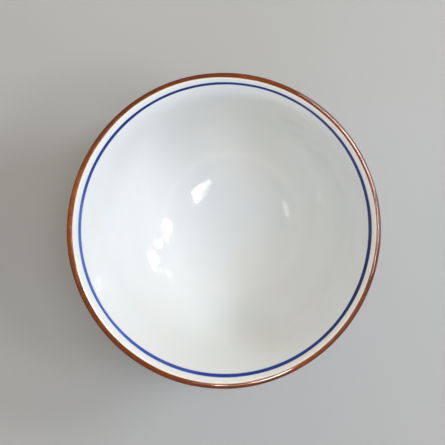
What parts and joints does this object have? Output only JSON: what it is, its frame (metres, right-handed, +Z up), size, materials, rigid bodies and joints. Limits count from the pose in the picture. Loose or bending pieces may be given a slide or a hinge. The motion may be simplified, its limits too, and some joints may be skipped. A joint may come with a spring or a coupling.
{
  "type": "handleless teacup",
  "caption": "Handleless porcelain teacup: a round bowl with a leaning wall on a foot ring, glazed white, with a brown lip and a blue line inside, for drinking tea.",
  "frame": {"origin": "on the cup's axis, level with the edge of the foot ring that it stands on", "axes": "+Z up along the cup's axis, out of its mouth; the cup is round, so +X and +Y are free"},
  "size_m": [0.088, 0.088, 0.054],
  "materials": {
    "porcelain": "bare fired porcelain, matte and faintly gritty",
    "white_glaze": "glossy cool white glaze",
    "cobalt_glaze": "glossy cobalt blue, soft at its edges",
    "iron_glaze": "glossy iron brown, paler where it thins"
  },
  "bodies": {
    "root": {"bowl_body": "porcelain", "foot_ring": "porcelain", "lining_glaze": "white_glaze", "blue_line": "cobalt_glaze", "lip_glaze": "white_glaze", "rim_band": "iron_glaze", "wall_glaze": "white_glaze", "foot_glaze": "white_glaze"}
  },
  "joints": []
}
